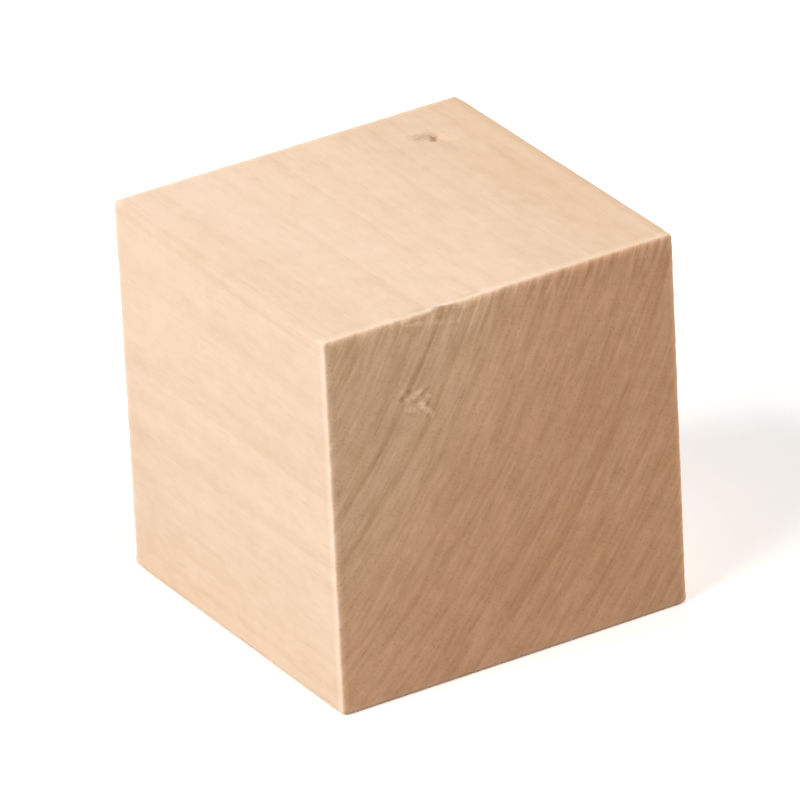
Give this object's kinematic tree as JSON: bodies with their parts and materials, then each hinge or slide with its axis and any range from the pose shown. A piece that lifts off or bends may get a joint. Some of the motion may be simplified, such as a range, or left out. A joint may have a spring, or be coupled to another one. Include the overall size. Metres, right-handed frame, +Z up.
{
  "type": "wooden cube",
  "caption": "Small plain hardwood cube, solid and unfinished, with lightly eased arrises, two end-grain faces and four side-grain faces.",
  "frame": {"origin": "middle of the underside", "axes": "+Z up; the grain runs along Y, so the two Y faces are end grain; X is across the grain"},
  "size_m": [0.025, 0.025, 0.0254],
  "materials": {
    "bare_hardwood": "bare, sawn end grain and planed side grain, no varnish"
  },
  "bodies": {
    "root": {"wooden_cube": "bare_hardwood"}
  },
  "joints": []
}
